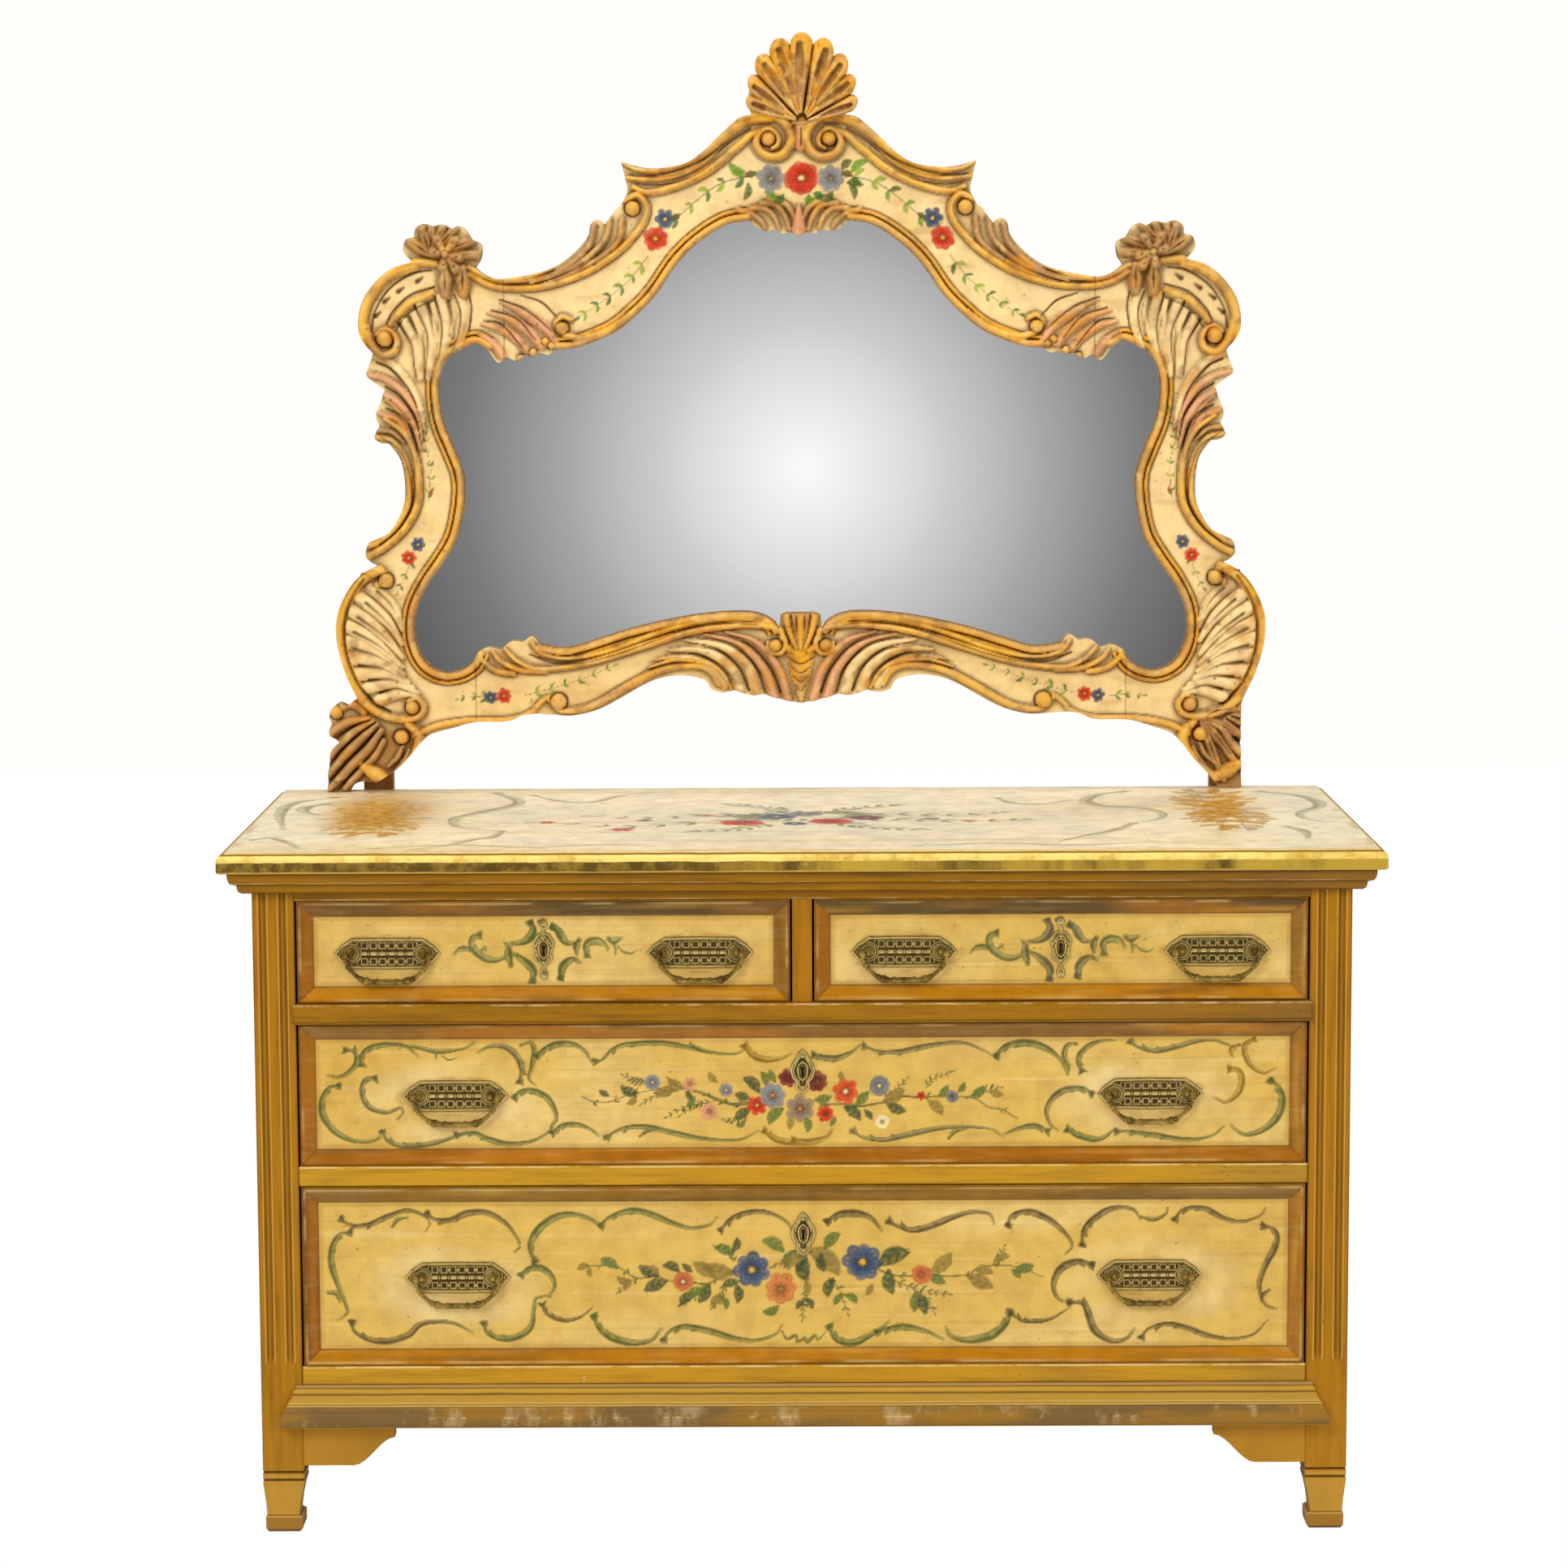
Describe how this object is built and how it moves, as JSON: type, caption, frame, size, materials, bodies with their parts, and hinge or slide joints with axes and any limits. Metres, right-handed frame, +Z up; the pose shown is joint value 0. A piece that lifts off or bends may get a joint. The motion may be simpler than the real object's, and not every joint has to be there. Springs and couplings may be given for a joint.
{
  "type": "chest of drawers with mirror",
  "caption": "Painted wooden chest of drawers on square feet, with a carved scrolling mirror frame and shell crest standing on its moulded top.",
  "frame": {"origin": "on the floor, at the middle of the whole piece's width and depth", "axes": "+Z up, -Y towards the person who opens the drawers, +X to that person's right"},
  "size_m": [1.268, 0.5914, 1.6683],
  "materials": {
    "case_paint": "golden ochre paint with brown glaze, satin",
    "top_paint": "cream paint under gloss varnish, worn dark edge",
    "drawer_paint": "yellow-cream paint with ochre borders, satin",
    "frame_paint": "cream paint with gold-ochre carving, satin",
    "shell_paint": "ochre and brown paint over carving, satin",
    "bare_wood": "unpainted softwood",
    "brass": "aged, dull",
    "iron": "dark, smooth",
    "mirror": "silvered plate glass"
  },
  "bodies": {
    "case": {"top_board": "top_paint", "cornice_moulding": "case_paint", "left_stile": "case_paint", "right_stile": "case_paint", "left_side_frame": "case_paint", "right_side_frame": "case_paint", "back_panel": "bare_wood", "frieze_rail": "case_paint", "centre_divider": "case_paint", "upper_rail": "case_paint", "lower_rail": "case_paint", "bottom_rail": "case_paint", "base_moulding": "case_paint", "left_bracket": "case_paint", "right_bracket": "case_paint", "upper_dust_board": "bare_wood", "lower_dust_board": "bare_wood", "bottom_board": "bare_wood", "mirror_frame": "frame_paint", "crest_shell": "shell_paint", "mirror_glass": "mirror", "mirror_backboard": "bare_wood", "left_standard": "case_paint", "right_standard": "case_paint"},
    "small_left_drawer": {"small_left_drawer_front": "drawer_paint", "small_left_drawer_box": "bare_wood", "small_left_drawer_bottom": "bare_wood", "small_left_drawer_lock": "iron", "small_left_drawer_escutcheon": "brass", "small_left_drawer_left_plate": "brass", "small_left_drawer_right_plate": "brass"},
    "small_left_drawer_left_bail": {"small_left_drawer_left_bail": "brass"},
    "small_left_drawer_right_bail": {"small_left_drawer_right_bail": "brass"},
    "small_right_drawer": {"small_right_drawer_front": "drawer_paint", "small_right_drawer_box": "bare_wood", "small_right_drawer_bottom": "bare_wood", "small_right_drawer_lock": "iron", "small_right_drawer_escutcheon": "brass", "small_right_drawer_left_plate": "brass", "small_right_drawer_right_plate": "brass"},
    "small_right_drawer_left_bail": {"small_right_drawer_left_bail": "brass"},
    "small_right_drawer_right_bail": {"small_right_drawer_right_bail": "brass"},
    "middle_drawer": {"middle_drawer_front": "drawer_paint", "middle_drawer_box": "bare_wood", "middle_drawer_bottom": "bare_wood", "middle_drawer_lock": "iron", "middle_drawer_escutcheon": "brass", "middle_drawer_left_plate": "brass", "middle_drawer_right_plate": "brass"},
    "middle_drawer_left_bail": {"middle_drawer_left_bail": "brass"},
    "middle_drawer_right_bail": {"middle_drawer_right_bail": "brass"},
    "bottom_drawer": {"bottom_drawer_front": "drawer_paint", "bottom_drawer_box": "bare_wood", "bottom_drawer_bottom": "bare_wood", "bottom_drawer_lock": "iron", "bottom_drawer_escutcheon": "brass", "bottom_drawer_left_plate": "brass", "bottom_drawer_right_plate": "brass"},
    "bottom_drawer_left_bail": {"bottom_drawer_left_bail": "brass"},
    "bottom_drawer_right_bail": {"bottom_drawer_right_bail": "brass"}
  },
  "joints": [
    {"name": "small_left_drawer_slide", "type": "slide", "parent": "case", "child": "small_left_drawer", "axis": [0, -1, 0], "range_m": [0, 0.32]},
    {"name": "small_left_drawer_left_bail_swing", "type": "hinge", "parent": "small_left_drawer", "child": "small_left_drawer_left_bail", "pos_m": [-0.45363, -0.26275, 0.64955], "axis": [-1, 0, 0], "range_deg": [-6, 160]},
    {"name": "small_left_drawer_right_bail_swing", "type": "hinge", "parent": "small_left_drawer", "child": "small_left_drawer_right_bail", "pos_m": [-0.11163, -0.26275, 0.64955], "axis": [-1, 0, 0], "range_deg": [-6, 160]},
    {"name": "small_right_drawer_slide", "type": "slide", "parent": "case", "child": "small_right_drawer", "axis": [0, -1, 0], "range_m": [0, 0.32]},
    {"name": "small_right_drawer_left_bail_swing", "type": "hinge", "parent": "small_right_drawer", "child": "small_right_drawer_left_bail", "pos_m": [0.11163, -0.26275, 0.64955], "axis": [-1, 0, 0], "range_deg": [-6, 160]},
    {"name": "small_right_drawer_right_bail_swing", "type": "hinge", "parent": "small_right_drawer", "child": "small_right_drawer_right_bail", "pos_m": [0.45363, -0.26275, 0.64955], "axis": [-1, 0, 0], "range_deg": [-6, 160]},
    {"name": "middle_drawer_slide", "type": "slide", "parent": "case", "child": "middle_drawer", "axis": [0, -1, 0], "range_m": [0, 0.34]},
    {"name": "middle_drawer_left_bail_swing", "type": "hinge", "parent": "middle_drawer", "child": "middle_drawer_left_bail", "pos_m": [-0.3815, -0.26275, 0.49105], "axis": [-1, 0, 0], "range_deg": [-6, 160]},
    {"name": "middle_drawer_right_bail_swing", "type": "hinge", "parent": "middle_drawer", "child": "middle_drawer_right_bail", "pos_m": [0.3815, -0.26275, 0.49105], "axis": [-1, 0, 0], "range_deg": [-6, 160]},
    {"name": "bottom_drawer_slide", "type": "slide", "parent": "case", "child": "bottom_drawer", "axis": [0, -1, 0], "range_m": [0, 0.34]},
    {"name": "bottom_drawer_left_bail_swing", "type": "hinge", "parent": "bottom_drawer", "child": "bottom_drawer_left_bail", "pos_m": [-0.3815, -0.26275, 0.28755], "axis": [-1, 0, 0], "range_deg": [-6, 160]},
    {"name": "bottom_drawer_right_bail_swing", "type": "hinge", "parent": "bottom_drawer", "child": "bottom_drawer_right_bail", "pos_m": [0.3815, -0.26275, 0.28755], "axis": [-1, 0, 0], "range_deg": [-6, 160]}
  ]
}
